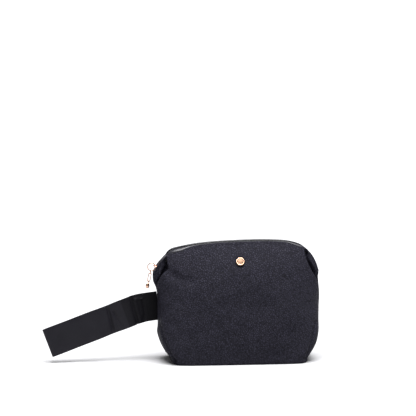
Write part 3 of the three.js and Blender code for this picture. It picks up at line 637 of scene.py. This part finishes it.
def cut_cloth(name, table, opening=None, uv=None):
    """A flat grid laid onto a table of points in millimetres, [row up][column across]."""
    rows, columns = table.shape[0] - 1, table.shape[1] - 1
    nothing_selected()
    bpy.ops.mesh.primitive_grid_add(x_subdivisions=columns, y_subdivisions=rows, size=1)
    obj = named(name)
    flat = coords(obj)
    column = np.rint((flat[:, 0] + 0.5) * columns).astype(int)
    row = np.rint((flat[:, 1] + 0.5) * rows).astype(int)
    set_coords(obj, table[row, column] * MM)
    if opening is not None:
        layer = obj.data.attributes.new("gape", "FLOAT", "POINT")
        layer.data.foreach_set("value", opening[row, column].astype(np.float32))
    if uv is not None:
        if obj.data.uv_layers:
            obj.data.uv_layers.remove(obj.data.uv_layers[0])
        layer = obj.data.uv_layers.new(name="weave")
        corner = np.empty(len(obj.data.loops), np.int32)
        obj.data.loops.foreach_get("vertex_index", corner)
        layer.data.foreach_set("uv", uv[row, column][corner].astype(np.float32).ravel())
    return obj


def mirrored(table):
    """The same sheet for the back, still drawn so that its faces point outwards."""
    return table[:, ::-1] * np.array([1, -1, 1])


def bend_open(obj):
    """Bakes a sewn piece's placement and takes off its gape weights, which are read but not used.
    """
    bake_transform(obj)
    layer = obj.data.attributes["gape"]
    weights = np.empty(len(obj.data.vertices), np.float32)
    layer.data.foreach_get("value", weights)
    obj.data.attributes.remove(obj.data.attributes["gape"])


def kept_to_side(obj, mouth, clear):
    """Nothing of a front piece passes the seam's middle, nor of a back piece."""
    co = coords(obj)
    co[:, 1] = (np.minimum(co[:, 1], -clear * MM) if mouth == "front_mouth"
                else np.maximum(co[:, 1], clear * MM))
    set_coords(obj, co)


def turned_edge(wall, out, weights, side, turn, flip, finishes):
    """The leather's edge, turned over, pressed smooth and sewn down along the zip."""
    first, last = int(0.125 * ACROSS), int(0.86 * ACROSS)
    edge, normal = wall[-1, first:last + 1], out[-1, first:last + 1]
    rise = edge - wall[-4, first:last + 1]
    rise /= np.linalg.norm(rise, axis=1)[:, None]
    share = SHARES[first:last + 1]
    size = ease(0, 0.03, np.minimum(share - share[0], share[-1] - share)) * 0.7 + 0.3
    corner = (0.3 + 1.15 * np.exp(-((share - 0.2) / 0.06) ** 2)
              + 0.75 * np.exp(-((share - 0.8) / 0.055) ** 2))
    rows = []
    for angle in np.linspace(-2.0, math.pi + 0.5, 13):
        across = 1.05 * math.cos(math.pi - angle) * size
        up = 1.75 * math.sin(angle) * size * corner
        rows.append(edge - normal * (LEATHER / 2 + across)[:, None]
                    + rise * (up - 1.6 * corner)[:, None])
    table = np.array(rows)
    table[:, :, 1] = np.minimum(table[:, :, 1], -0.4)
    band = cut_cloth(side + "_turned_edge", turn(table),
                     flip(np.repeat(weights[-1:, first:last + 1], len(rows), 0)))
    finished(band, finishes["edge"], 60)
    bend_open(band)


def wall_pieces(wall, mouth, finishes):
    """Leather, lining, tape and coil of one half of the bag."""
    side = mouth.split("_")[0]
    turn = (lambda table: table) if side == "front" else mirrored
    flip = (lambda weights: weights) if side == "front" else (lambda weights: weights[:, ::-1])
    out = normals_of(wall)
    share = SHARES[None, :] + 0 * wall[:, :, 0]
    weights = gape(share, wall[:, :, 2])

    pared = wall.copy()  # edges are skived round before they are turned
    for depth, k in ((0.42, 0), (0.1, 1)):
        pared[-1 - k] -= out[-1 - k] * depth
        pared[:, k] -= out[:, k] * depth * 0.6
        pared[:, -1 - k] -= out[:, -1 - k] * depth * 0.6
    leather = cut_cloth(side + "_leather", turn(pared), flip(weights))
    modified(leather, "SOLIDIFY", thickness=LEATHER * MM, offset=-1)
    kept_to_side(leather, mouth, 0.08)
    finished(leather, finishes["leather"], 60)
    bend_open(leather)
    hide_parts(side + "_panel", side + "_mouth_panel")

    turned_edge(wall, out, weights, side, turn, flip, finishes)
    inner = (wall - out * (LEATHER + 0.75))[3:-3:2, ::2]
    lining = cut_cloth(side + "_lining_cloth", turn(inner), flip(weights[3:-3:2, ::2]))
    modified(lining, "SOLIDIFY", thickness=0.5 * MM, offset=-1)
    kept_to_side(lining, mouth, 0.3)
    finished(lining, finishes["lining"], 60)
    bend_open(lining)
    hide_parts(side + "_lining", side + "_mouth_lining")

    stations = np.linspace(0.018, 0.982, 241)
    top, _, up = chain_frame(stations)
    wide = ease(0.018, 0.06, from_end(stations))

    def inside(level, depth):
        row = np.interp(level, LEVELS, np.arange(len(LEVELS)))
        low = int(row)
        pick = lambda t: t[low] * (low + 1 - row) + t[min(low + 1, len(t) - 1)] * (row - low)
        p = pick(wall) - pick(out) * depth
        return np.stack([np.interp(stations, SHARES, p[:, k]) for k in range(3)], 1)

    selvedge = top - up * 2.0
    rows = []
    for y in (1.2, 2.2, 3.2):
        p = selvedge.copy()
        p[:, 1] = -np.minimum(y, 1.2 + (y - 1.2) * (0.4 + 0.6 * wide))
        rows.append(p)
    under = inside(2.0, LEATHER + 0.2)
    rows.append((rows[-1] + under) / 2 - up * 0.25)
    rows.append(under - up * 0.6)
    for level in (1.95, 1.9, 1.86):
        rows.append(inside(level, LEATHER + 0.2))
    tape_table = np.array(rows[::-1])
    tape_table[:, :, 1] = np.minimum(tape_table[:, :, 1], -0.5)
    tape_share = stations[None, :] + 0 * tape_table[:, :, 0]
    tape_weights = gape(tape_share, tape_table[:, :, 2])
    tape = cut_cloth(side + "_zip_tape_cloth", turn(tape_table), flip(tape_weights))
    modified(tape, "SOLIDIFY", thickness=0.45 * MM, offset=-1)
    finished(tape, finishes["tape"], 50)
    bend_open(tape)
    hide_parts(side + "_zip_tape",
                ("left" if side == "front" else "right") + "_zip_tail_tape")
    coil_row(side, finishes)


COIL_PITCH = 1.7
COIL_FROM, COIL_TO = 0.042, 0.962


def one_coil_loop():
    """One loop of the coil at the origin: +X along the chain, +Y to its hooked tip."""
    nothing_selected()
    bpy.ops.mesh.primitive_cube_add(size=1)
    loop = named("coil_loop")
    set_coords(loop, coords(loop) * (0.72, 3.1, 1.35) + (0, -0.98, -0.72))
    co = coords(loop)
    tip = co[:, 1] > 0
    co[tip, 2] += np.where(co[tip, 2] > -0.72, -0.1, 0.1)
    co[tip, 0] *= 1.12
    co[~tip, 0] *= 0.86
    set_coords(loop, co)
    modified(loop, "BEVEL", width=0.22, segments=1, limit_method="NONE")
    made = coords(loop), [list(p.vertices) for p in loop.data.polygons]
    bpy.data.objects.remove(loop)
    return made


def coil_row(side, finishes):
    points, faces = one_coil_loop()
    sign = 1 if side == "front" else -1
    count = int((COIL_TO - COIL_FROM) * EDGE_LENGTH / COIL_PITCH)
    shares = COIL_FROM + (np.arange(count) + (0 if side == "front" else 0.5)) \
        * COIL_PITCH / EDGE_LENGTH
    top, run, up = chain_frame(shares)
    all_points, all_faces, weights = [], [], []
    ways = gape(shares, top[:, 2])
    for k in range(count):
        base = k * len(points)
        local = top[k] + points[:, :1] * run[k] + points[:, 2:] * up[k]
        local[:, 1] += points[:, 1] * sign
        all_points.append(local)
        all_faces += [[base + i for i in (face if sign > 0 else face[::-1])] for face in faces]
        weights += [ways[k]] * len(points)
    mesh = bpy.data.meshes.new(side + "_zip_coil")
    mesh.from_pydata((np.vstack(all_points) * MM).tolist(), [], all_faces)
    coil = bpy.data.objects.new(side + "_zip_coil", mesh)
    bpy.context.scene.collection.objects.link(coil)
    layer = mesh.attributes.new("gape", "FLOAT", "POINT")
    layer.data.foreach_set("value", np.array(weights, np.float32))
    finished(coil, finishes["coil"], 35)
    bend_open(coil)
    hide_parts(side + "_zip_teeth",
                ("left" if side == "front" else "right") + "_zip_tail_teeth")


def base_pieces(finishes):
    """The leather under the bag, and the lining over its board."""
    ring = section(0.2, np.linspace(0, 1, 97))
    loop = np.vstack([ring, (ring * (1, -1, 1))[::-1]])
    reach = np.concatenate([np.linspace(0, 0.9, 10), [0.95, 0.98, 1]])[:, None, None]

    def sheet(name, inset, z, thick, pucker):
        rim = loop.copy()
        rim[:, :2] *= 1 - inset / np.maximum(np.linalg.norm(rim[:, :2], axis=1), 1)[:, None]
        table = rim[None] * reach
        table[:, :, 2] = z + pucker * np.sin(table[:, :, 0] / 10.5) \
            * np.sin(table[:, :, 1] / 7.7 + 1) * (1 - reach[:, :, 0] ** 4)
        obj = cut_cloth(name, table[::-1])
        modified(obj, "WELD", merge_threshold=1e-5)
        if obj.data.polygons[0].normal.z < 0:
            obj.data.flip_normals()
        return modified(obj, "SOLIDIFY", thickness=thick * MM, offset=-1)

    under = sheet("base_leather", 2.2, 1.25, 1.15, 0.0)
    modified(under, "BEVEL", width=0.4 * MM, segments=2, limit_method="ANGLE",
             angle_limit=math.radians(50))
    finished(under, finishes["leather"])
    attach(under, "shell")
    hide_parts("base_panel")
    cloth = sheet("floor_lining_cloth", 3.0, 3.9, 0.5, 0.25)
    finished(cloth, finishes["lining"])
    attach(cloth, "shell")
    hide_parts("base_lining")


# ---- Strap ------------------------------------------------------------------------------
STRAP_WIDTH, STRAP_PLY = 30, 0.95
STRAP_FROM = np.array([-83.4, 58.6])  # sewn into the left seam
STRAP_END = 122.2  # from the seam to the folded end
STRAP_PARTS_AT = 36  # the two pieces of the band meet here
STRAP_CREASE_AT = 53.7
STRAP_OPEN = 2.4
STRAP_TURN_R = STRAP_OPEN + STRAP_PLY


def strap_line():
    """Middle of the band as seen from the front: level at the seam, then hanging down."""
    run = np.linspace(0, STRAP_END, 611)
    slope = np.radians(7 + 13.4 * ease(10, 28, run))
    step = run[1]
    x = STRAP_FROM[0] - np.concatenate([[0], np.cumsum(np.cos(slope[1:]) * step)])
    z = STRAP_FROM[1] - np.concatenate([[0], np.cumsum(np.sin(slope[1:]) * step)])
    return run, x, z, slope


STRAP_RUN, STRAP_X, STRAP_Z, STRAP_SLOPE = strap_line()
# Creases of the band as seen from the front: across and up, how deep, how wide.
STRAP_CREASES = [
    ([(-135.4, 60), (-132.5, 48), (-130, 37)], 1.5, 1.5),
    ([(-131.4, 56), (-129.0, 46), (-126.3, 37)], -1.0, 1.3),
    ([(-129.6, 57), (-125, 50), (-120.0, 42)], 0.9, 1.2),
    ([(-111.5, 72), (-108.4, 58), (-103.5, 42)], 1.9, 1.7),
    ([(-106.3, 68), (-104.3, 58), (-101.2, 46)], -1.0, 1.5),
    ([(-108.5, 68.8), (-102, 69.8), (-94, 70.2)], -0.9, 0.9),
    ([(-98.5, 67), (-96.5, 56), (-98, 47)], 1.1, 1.8),
]


def strap_ply(run, across, sign):
    """Points of the band's outer face, run along it and across it, on one side."""
    x, z, slope = (np.interp(run, STRAP_RUN, t) for t in (STRAP_X, STRAP_Z, STRAP_SLOPE))
    pinch = np.minimum(np.maximum(run - 9.8, 0), np.abs(run - STRAP_CREASE_AT) - 1.6)
    gap = 0.35 + (STRAP_OPEN - 0.35) * ease(0, 15, pinch)
    px = x - np.sin(slope) * across
    pz = z + np.cos(slope) * across
    py = sign * (gap + STRAP_PLY)
    u, v = seen(px, py, pz)
    for line, deep, wide in STRAP_CREASES:
        py = py + deep * np.exp(-(off_line(line, u, v)[0] / wide) ** 2) \
            * (1 if sign < 0 else 0.7) * ease(0, 4, run - 12)
    soft = 0.25 * np.sin(run / 9 + across / 11) + 0.18 * np.sin(run / 5.3 - across / 7 + 1)
    py = py + soft * ease(0, 14, run - 14) * ease(0, 6, np.abs(run - STRAP_CREASE_AT))
    py = py + 0.35 * np.sign(-py) * ease(12, 15, np.abs(across))  # woven edge, thinner
    return px, py, pz


def strap_pieces(finishes):
    rows = 25
    across = np.linspace(-STRAP_WIDTH / 2, STRAP_WIDTH / 2, rows)

    def band(name, table, run):
        uv = np.stack([np.broadcast_to(run * MM, table.shape[:2]),
                       np.broadcast_to(across[:, None] * MM, table.shape[:2])], 2)
        obj = cut_cloth(name, table, uv=uv)
        modified(obj, "SOLIDIFY", thickness=STRAP_PLY * MM, offset=-1)
        return obj

    def ply(run, sign):
        r, a = np.broadcast_arrays(run[None, :], across[:, None])
        return np.stack(strap_ply(r, a, sign), 2)

    run = np.linspace(-0.0, STRAP_PARTS_AT, 73)
    # The front ply is drawn from its free end to the seam so that its face points forwards.
    front = band("strap_root_front", ply(run[::-1], -1), run[::-1])
    back = band("strap_root_back", ply(run, 1), run)
    nothing_selected()
    back.select_set(True)
    front.select_set(True)
    bpy.context.view_layer.objects.active = front
    bpy.ops.object.join()
    root = named("strap_root_band")
    finished(root, finishes["satin"], 50)
    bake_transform(root)
    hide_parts("strap_root")

    straight = np.linspace(STRAP_PARTS_AT, STRAP_END - STRAP_TURN_R, 150)
    turn = np.linspace(0, math.pi, 25)[1:-1]
    halves = {sign: ply(straight, sign) for sign in (-1, 1)}
    last = {sign: halves[sign][:, -1] for sign in (-1, 1)}
    slope = STRAP_SLOPE[-1]
    ahead = np.array([-math.cos(slope), 0, -math.sin(slope)])
    middle, reach = (last[-1] + last[1]) / 2, (last[-1] - last[1]) / 2
    bend = np.stack([middle + reach * math.cos(t)
                     + ahead * STRAP_TURN_R * math.sin(t) for t in turn], 1)
    table = np.concatenate([halves[1], bend[:, ::-1], halves[-1][:, ::-1]], 1)
    steps = np.linalg.norm(np.diff(table[rows // 2], axis=0), axis=1)
    length = np.concatenate([[0], np.cumsum(steps)])
    loop = band("strap_loop_band", table, length)
    finished(loop, finishes["satin"], 50)
    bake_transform(loop)
    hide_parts("strap_front_ply", "strap_back_ply", "strap_loop_end")


# ---- Metal ------------------------------------------------------------------------------
SLIDER_AT = 0.056
CHAIN_LEAN = math.radians(12)
PULLER_RING_AT = Vector((-90.228, 0, 99.15))


def slider_frame():
    top, run, up = (t[0] for t in chain_frame(np.array([SLIDER_AT])))
    frame = Matrix.Identity(4)
    for column, way in enumerate((-run, (0, -1, 0), up)):
        for k in range(3):
            frame[k][column] = way[k]
    frame.translation = Vector(top * MM)
    return frame


def block(low, high, soften, segments=3):
    """A rounded lump between two corners, in millimetres."""
    low, high = np.array(low, float), np.array(high, float)
    nothing_selected()
    bpy.ops.mesh.primitive_cube_add(size=1)
    lump = bpy.context.object
    set_coords(lump, (coords(lump) * (high - low) + (high + low) / 2) * MM)
    return modified(lump, "BEVEL", width=soften * MM, segments=segments, limit_method="NONE")


def united(lumps, name):
    """One closed solid from lumps that run into each other."""
    body = lumps[0]
    for lump in lumps[1:]:
        modified(body, "BOOLEAN", operation="UNION", object=lump, solver="EXACT")
        bpy.data.objects.remove(lump)
    body.name = body.data.name = name
    return body


def bent_wire(major, minor, turn, steps=56, wire_steps=14):
    nothing_selected()
    bpy.ops.mesh.primitive_torus_add(major_radius=major * MM, minor_radius=minor * MM,
                                     major_segments=steps, minor_segments=wire_steps)
    ring = bpy.context.object
    ring.data.transform(turn)
    return ring


def slider_piece(finishes):
    plate = block((-4.5, -4, 0.4), (4.5, 4, 1.6), 0.5)
    co = coords(plate) / MM
    nose = ease(0.5, 4.5, co[:, 0])
    co[:, 1] *= 1 - 0.22 * nose - 0.1 * ease(-2.5, -4.5, co[:, 0])
    co[:, 2] += 0.12 * (1 - (co[:, 1] / 4) ** 2) * (co[:, 2] > 1)
    set_coords(plate, co * MM)
    lumps = [plate, block((-4.5, -4, -4.2), (4.5, 4, -3.0), 0.45),
             block((3.2, -0.9, -3.1), (4.4, 0.9, 0.6), 0.3)]
    for side in (-1, 1):
        lumps.append(block((-4.3, min(side * 3.15, side * 3.95), -1.2),
                           (3.4, max(side * 3.15, side * 3.95), 0.7), 0.25))
    arch = bent_wire(2.75, 0.5, Matrix.Rotation(math.pi / 2, 4, "Y"))
    co = coords(arch) / MM
    co[:, 0] *= 1.7 - 0.7 * ease(0, 2.4, co[:, 2])
    co[:, 2] = co[:, 2] * 1.27 + 1.5
    set_coords(arch, co * MM)
    only(arch)
    bpy.ops.object.mode_set(mode="EDIT")
    bpy.ops.mesh.select_all(action="SELECT")
    bpy.ops.mesh.bisect(plane_co=(0, 0, 1.1 * MM), plane_no=(0, 0, 1), use_fill=True,
                        clear_inner=True)
    bpy.ops.object.mode_set(mode="OBJECT")
    slider = united(lumps + [arch], "zip_slider_cast")
    slider.data.transform(slider_frame())
    finished(slider, finishes["gold"], 35)
    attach(slider, "slider")
    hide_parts("zip_slider")


def hanging(distance):
    """Place on the puller chain, that far below the ring's middle."""
    return PULLER_RING_AT + Vector((-math.sin(CHAIN_LEAN), 0, -math.cos(CHAIN_LEAN))) * distance


def chain_pieces(finishes):
    upright = Matrix.Rotation(math.pi / 2, 4, "X")
    lean = Matrix.Rotation(CHAIN_LEAN, 4, "Y")
    side_on = Matrix.Rotation(math.pi / 2, 4, "Z")

    def hung(obj, name, distance, body, node_name):
        obj.data.transform(Matrix.Translation(hanging(distance) * MM))
        obj.name = obj.data.name = name
        finished(obj, finishes["gold"], 45)
        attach(obj, body)
        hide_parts(node_name)

    hung(bent_wire(4.05, 0.45, upright), "puller_ring", 0, "ring", "pull_ring")
    link_at = 5.299
    hung(bent_wire(2.3, 0.35, lean @ side_on @ upright, 40, 12), "puller_jump_link",
         link_at, "jump_link", "pull_link")
    long_link = bent_wire(1.3, 0.4, upright, 36, 12)
    co = coords(long_link)
    co[:, 2] += np.where(co[:, 2] > 1e-6, 3.25 * MM, np.where(co[:, 2] < -1e-6, -3.25 * MM, 0))
    set_coords(long_link, co)
    long_link.data.transform(lean)
    hung(long_link, "puller_long_link", 11.049, "long_link", "pull_long_link")

    loop_at = 15.7
    nothing_selected()
    bpy.ops.mesh.primitive_uv_sphere_add(segments=32, ring_count=20, radius=1)
    bead = bpy.context.object
    co = coords(bead)
    wide = (1 - 0.22 * co[:, 2]) * (1 + 0.05 * np.cos(co[:, 2] * 9))
    co = np.stack([co[:, 0] * 2 * wide, co[:, 1] * 2 * wide, co[:, 2] * 2.9 - 4.15], 1)
    set_coords(bead, co * MM)
    loop = bent_wire(1.3, 0.3, side_on @ upright, 32, 10)
    drop = united([bead, loop], "drop_body")
    drop.data.transform(lean)
    hung(drop, "puller_drop", loop_at, "drop", "pull_drop")


STUD_AT = Vector((-0.098, -24.263, 106.535))
STUD_FACING = Vector((-0.007, -0.841, 0.541)).normalized()


def stud_piece(finishes):
    """A turned cap with a raised rim on its shank, and a satin disc in its dished middle, painted
    darker as a stand-in for the dark reflection there.
    """
    onto_wall = Matrix.Translation(STUD_AT * MM) \
        @ STUD_FACING.to_track_quat("Z", "Y").to_matrix().to_4x4()
    profile = [(0, -2.9), (1.2, -2.9), (1.2, -0.05), (3.9, 0.0), (4.35, 0.12), (4.5, 0.45),
               (4.48, 0.95), (4.32, 1.35), (4.0, 1.58), (3.65, 1.6), (3.35, 1.42), (3.1, 1.12),
               (2.7, 1.0), (1.8, 1.06), (0.9, 1.12), (0, 1.14)]
    mesh = bpy.data.meshes.new("stud")
    mesh.from_pydata([(r * MM, 0, h * MM) for r, h in profile], [
        (i, i + 1) for i in range(len(profile) - 1)], [])
    cap = bpy.data.objects.new("rose_gold_stud", mesh)
    bpy.context.scene.collection.objects.link(cap)
    modified(cap, "SCREW", angle=2 * math.pi, steps=56, render_steps=56, axis="Z",
             use_merge_vertices=True, merge_threshold=1e-6)
    modified(cap, "WELD", merge_threshold=1e-6)
    only(cap)
    bpy.ops.object.mode_set(mode="EDIT")
    bpy.ops.mesh.select_all(action="SELECT")
    bpy.ops.mesh.normals_make_consistent(inside=False)
    bpy.ops.object.mode_set(mode="OBJECT")
    cap.data.transform(onto_wall)
    finished(cap, finishes["gold"], 40)
    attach(cap, "front_mouth")
    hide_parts("stud_cap")

    nothing_selected()
    bpy.ops.mesh.primitive_cylinder_add(vertices=48, radius=2.9 * MM, depth=0.3 * MM)
    inlay = named("stud_inlay_disc")
    modified(inlay, "BEVEL", width=0.1 * MM, segments=2, limit_method="ANGLE")
    inlay.data.transform(onto_wall @ Matrix.Translation((0, 0, 1.18 * MM)))
    # Painted reflection: the disc's darker gold stands in for the dark reflection in the cap's
    # polished middle.
    finished(inlay, finishes["brushed"], 40)
    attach(inlay, "front_mouth")


# ---- The scene --------------------------------------------------------------------------
def main():
    set_camera()
    nothing_selected()
    bpy.ops.mesh.primitive_plane_add(size=FLOOR_SIZE)
    floor = named("floor_sweep")
    floor.data.materials.append(pale_floor())
    broad_light("ceiling_key", turn=12, rise=76, spread=44, strength=7.3)
    world = bpy.data.worlds.new("studio")
    bpy.context.scene.world = world
    world.use_nodes = True
    sky = world.node_tree.nodes["Background"]
    sky.inputs["Color"].default_value = (1, 1, 1, 1)
    sky.inputs["Strength"].default_value = SKY_STRENGTH
    bpy.context.scene.view_settings.view_transform = "Standard"

    finishes = {"leather": pebbled_leather(), "edge": pressed_edge(),
                "lining": lining_twill(), "tape": zip_tape(), "coil": zip_coil(),
                "gold": rose_gold(), "brushed": painted_reflection_gold(), "satin": satin_webbing()}
    for name, material in (("base_board", grey_board()), ("stud_washer", steel()),
                           ("zip_top_stop", steel()), ("zip_bottom_stop", steel())):
        stock = frame["nodes"][name]
        stock.data.materials.clear()
        stock.data.materials.append(material)
    wall_pieces(creased_wall(7, 1.0), "front_mouth", finishes)
    wall_pieces(creased_wall(23, 0.8), "back_mouth", finishes)
    base_pieces(finishes)
    strap_pieces(finishes)
    slider_piece(finishes)
    chain_pieces(finishes)
    stud_piece(finishes)


main()
